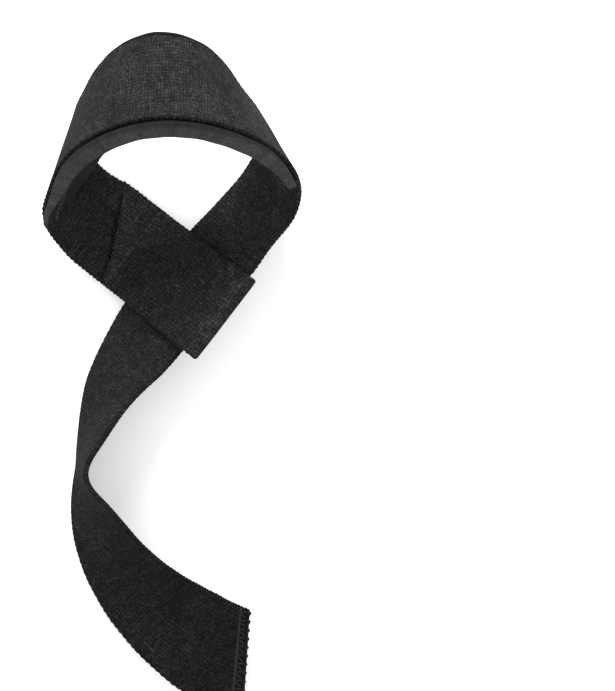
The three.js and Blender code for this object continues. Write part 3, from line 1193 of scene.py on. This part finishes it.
@dataclass
class SewnEnds:
    """The seam of the end loop, its frayed end, and the bound end of the tail."""

    webbing: Webbing
    seam_back: float = 1.0
    seam_step: float = 2.9
    seam_span: Pair = (-17.2, 17.9)
    seam_sunk: float = 0.06
    seam_rise: float = 0.2
    # Loose fibres: how far they reach across, and the spread of their places and directions
    fray_seed: int = 7
    fray_count: int = 130
    fray_reach: float = 18.5
    fray_back: Pair = (-0.4, 0.5)
    fray_deep: Pair = (-1.5, 0.5)
    fray_lean: Pair = (0.0, 0.8)
    fray_lift: Pair = (0.1, 0.4)
    # Binding of the tail's end: a ridge, legs that zigzag from it, and knots on the cut edge
    bound_depth: float = 3.6
    bound_span: Pair = (-18.6, 18.7)
    bound_step: float = 1.5
    ridge_sunk: float = 0.25
    leg_sunk: float = 0.1
    leg_sway: float = 0.45
    knot_back: float = 0.1
    knot_deep: float = 0.55

    def seam(self, face: Face) -> StitchRow:
        """The row of stitches across the end loop, on top of it or under it."""
        route = self.webbing.route
        frames = route.run(np.array([self.seam_back]))
        outer = self.seam_rise - route.thick / 2
        deep = route.sewn_height - self.seam_sunk if face is Face.INNER else outer
        across = np.arange(*self.seam_span, self.seam_step)
        middles = frames.points(across, np.full(across.shape, deep))[0]
        up = frames.inward[0] * face.value
        seats = [Seat(middle, frames.width[0], up) for middle in middles]
        return StitchRow(f"seam_{face.name.lower()}", seats, length=2.5, radius=0.36)

    def fray(self) -> StitchRow:
        """Short fibres that stand out of the raw end over the seam."""
        route = self.webbing.route
        chance = np.random.default_rng(self.fray_seed)
        across = np.sort(chance.uniform(-self.fray_reach, self.fray_reach, self.fray_count))
        seats = []
        for offset in across:
            back = float(self.webbing.flap_length(np.array([offset]))[0])
            frames = route.run(np.array([back + chance.uniform(*self.fray_back)]))
            deep = route.sewn_height + chance.uniform(*self.fray_deep)
            middle = frames.points(np.array([offset]), np.array([deep]))[0, 0]
            lean = frames.width[0] * chance.normal(*self.fray_lean)
            lean = lean + frames.inward[0] * chance.normal(*self.fray_lift)
            seats.append(Seat(middle, unit(frames.along[0] + lean), frames.inward[0]))
        return StitchRow("frayed_end", seats, length=1.9, radius=0.11, dip=0.45, segments=5)

    def bound_end(self) -> tuple[StitchRow, StitchRow, StitchRow]:
        """The tail's bound end.

        Returns:
            The ridges and the legs of thread on both faces, and the knots on the cut edge.
        """
        half_thick = self.webbing.route.thick / 2
        seat_at = self.webbing.tail_seat
        across = np.arange(*self.bound_span, self.bound_step)
        ridge, legs = [], []
        for side in (1, -1):
            for index, offset in enumerate(across):
                deep = side * (half_thick - self.ridge_sunk)
                ridge.append(seat_at(self.bound_depth, offset, deep, False))
                sway = self.leg_sway if index % 2 else -self.leg_sway
                deep = side * (half_thick - self.leg_sunk)
                leg = seat_at(self.bound_depth / 2, offset, deep, True)
                lean = unit(leg.along + sway * np.cross(leg.along, leg.up))
                legs.append(Seat(leg.middle, lean, leg.up))
        knots = [
            seat_at(self.knot_back, offset, deep, False)
            for offset in across[::2]
            for deep in (self.knot_deep, -self.knot_deep)
        ]
        return (
            StitchRow("end_ridge", ridge, length=2.6, radius=0.72, dip=0.1),
            StitchRow("end_legs", legs, length=3.7, radius=0.36, dip=0.25),
            StitchRow("end_knots", knots, length=1.7, radius=0.75, dip=0.2),
        )


@dataclass
class Studio:
    """Pale floor, soft light and the camera above the strap."""

    route: StrapRoute
    camera_height: float = 700.0
    pixels_per_mm: float = 2.5
    frame_height: float = 691.0
    sensor: float = 36.0
    # The camera's foot as seen from the middle of the stitch line
    foot_x: float = 68.72
    foot_y: float = -38.33
    # Size and level of the floor, in metres
    floor_size: float = 6.0
    floor_level: float = -0.0003
    floor_tone: float = 0.93
    floor_glow: float = 0.3
    paper: Finish = Finish("floor_paper", roughness=0.9, specular=0.1)
    surround: float = 0.95
    # Name, place in metres, size and power of each lamp
    lamps: Sequence[tuple[str, tuple[float, float, float], float, float]] = (
        ("key_lamp", (-0.12, 0.55, 0.45), 0.4, 4.4),
        ("fill_lamp", (0.3, 0.3, 0.6), 0.5, 0.6),
    )

    def build(self) -> None:
        """Add the floor, the lights and the camera."""
        self._floor()
        self._lights()
        self._camera()

    def _floor(self) -> None:
        """A wide pale floor just under the strap."""
        bpy.ops.object.select_all(action="DESELECT")
        bpy.ops.mesh.primitive_plane_add(size=self.floor_size, location=(0, 0, self.floor_level))
        floor = bpy.context.object
        floor.name = "floor"
        material, sketch = self.paper.start()
        glow = {"Emission Color": grey(1.0), "Emission Strength": self.floor_glow}
        self.paper.surface(sketch, {"Base Color": grey(self.floor_tone), **glow})
        floor.data.materials.append(material)

    def _lights(self) -> None:
        """A large soft key lamp from the photo's top, a weak fill and a bright surround."""
        scene = bpy.context.scene
        scene.view_settings.view_transform = "Standard"
        world = bpy.data.worlds.new("surround")
        world.use_nodes = True
        background = world.node_tree.nodes["Background"].inputs
        background["Color"].default_value = grey(1.0)
        background["Strength"].default_value = self.surround
        scene.world = world
        for name, place, size, power in self.lamps:
            lamp = bpy.data.lights.new(name, "AREA")
            lamp.shape, lamp.size, lamp.energy = "DISK", size, power
            holder = bpy.data.objects.new(name, lamp)
            bpy.context.collection.objects.link(holder)
            holder.location = place
            aim = -np.array(place)
            pan = math.atan2(aim[1], aim[0]) - math.pi / 2
            tilt = math.atan2(np.hypot(aim[0], aim[1]), -aim[2])
            holder.rotation_euler = (tilt, 0.0, pan)

    def _camera(self) -> None:
        """A camera that looks straight down, framed as the photograph is."""
        camera = bpy.data.cameras.new("camera")
        camera.sensor_width = self.sensor
        seen = self.frame_height / self.pixels_per_mm
        camera.lens = self.sensor * self.camera_height / seen
        holder = bpy.data.objects.new("camera", camera)
        bpy.context.collection.objects.link(holder)
        foot = self.route.offset + np.array([self.foot_x, self.foot_y, 0])
        holder.location = (foot[0] * MM, foot[1] * MM, self.camera_height * MM)
        bpy.context.scene.camera = holder


def build_strap(route: StrapRoute) -> list[Piece]:
    """Build the strap: its threads, webbing, lining and the lining's stitches.

    Args:
        route: the strap's course.

    Returns:
        Its pieces.
    """
    weave, fibre = PlainWeave().make(), SpunFibre().make()
    sewing = ThreadFinish("sewing_thread", tone=0.06).make()
    binding = ThreadFinish("binding_thread", tone=0.021).make()
    bobbin = ThreadFinish("bobbin_thread", tone=0.010).make()
    strap, pad = Webbing(route), WristPad(route)
    ends = SewnEnds(strap)
    ridge, legs, knots = ends.bound_end()
    threads = [
        (ends.seam(Face.INNER), sewing),
        (ends.seam(Face.OUTER), sewing),
        (ridge, binding),
        (legs, binding),
        (knots, bobbin),
        (ends.fray(), binding),
    ]
    sewn_on = [row.build(finish) for row, finish in threads]
    webbing = strap.build(WebbingFinish().make(weave, fibre), sewn_on)
    lining = pad.build(LiningFinish().make(weave, fibre))
    inner = pad.stitches(Face.INNER, "pad").build(sewing)
    outer = pad.stitches(Face.OUTER, "webbing").build(bobbin)
    return [*sewn_on, webbing, lining, inner, outer]


def main() -> None:
    """Build the strap and its studio."""
    logging.basicConfig(level=logging.INFO, format="%(name)s: %(message)s")
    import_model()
    route = StrapRoute()
    Studio(route).build()
    for piece in build_strap(route):
        LOG.info("%s: %d faces", piece.name, len(piece.data.polygons))


if __name__ == "__main__":
    main()
